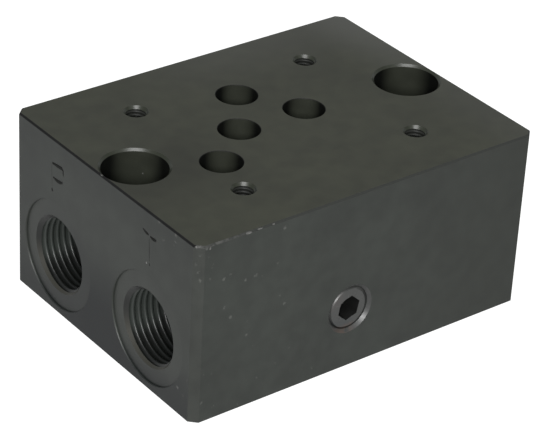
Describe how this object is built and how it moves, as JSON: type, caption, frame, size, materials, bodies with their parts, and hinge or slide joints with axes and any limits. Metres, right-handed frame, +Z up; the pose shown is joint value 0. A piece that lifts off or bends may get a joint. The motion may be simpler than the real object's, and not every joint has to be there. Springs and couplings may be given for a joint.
{
  "type": "hydraulic valve subplate",
  "caption": "Rectangular steel block that a hydraulic valve bolts onto, with flow bores in its top face, threaded pipe ports in its ends, fixing holes and plugged cross-drillings.",
  "frame": {"origin": "centre of the block's base face", "axes": "+X along the block towards the work ports, +Y across it towards the rear plug, +Z up to the valve face"},
  "size_m": [0.105, 0.08, 0.05],
  "materials": {
    "block_steel": "milled free-cutting steel with a dark grey phosphate coat, matte, brighter where chamfers are worn",
    "plug_steel": "dark oiled steel, satin, with thread sealant and a trace of rust at the rim"
  },
  "bodies": {
    "root": {"subplate_block": "block_steel", "front_plug": "plug_steel", "rear_plug": "plug_steel"}
  },
  "joints": []
}
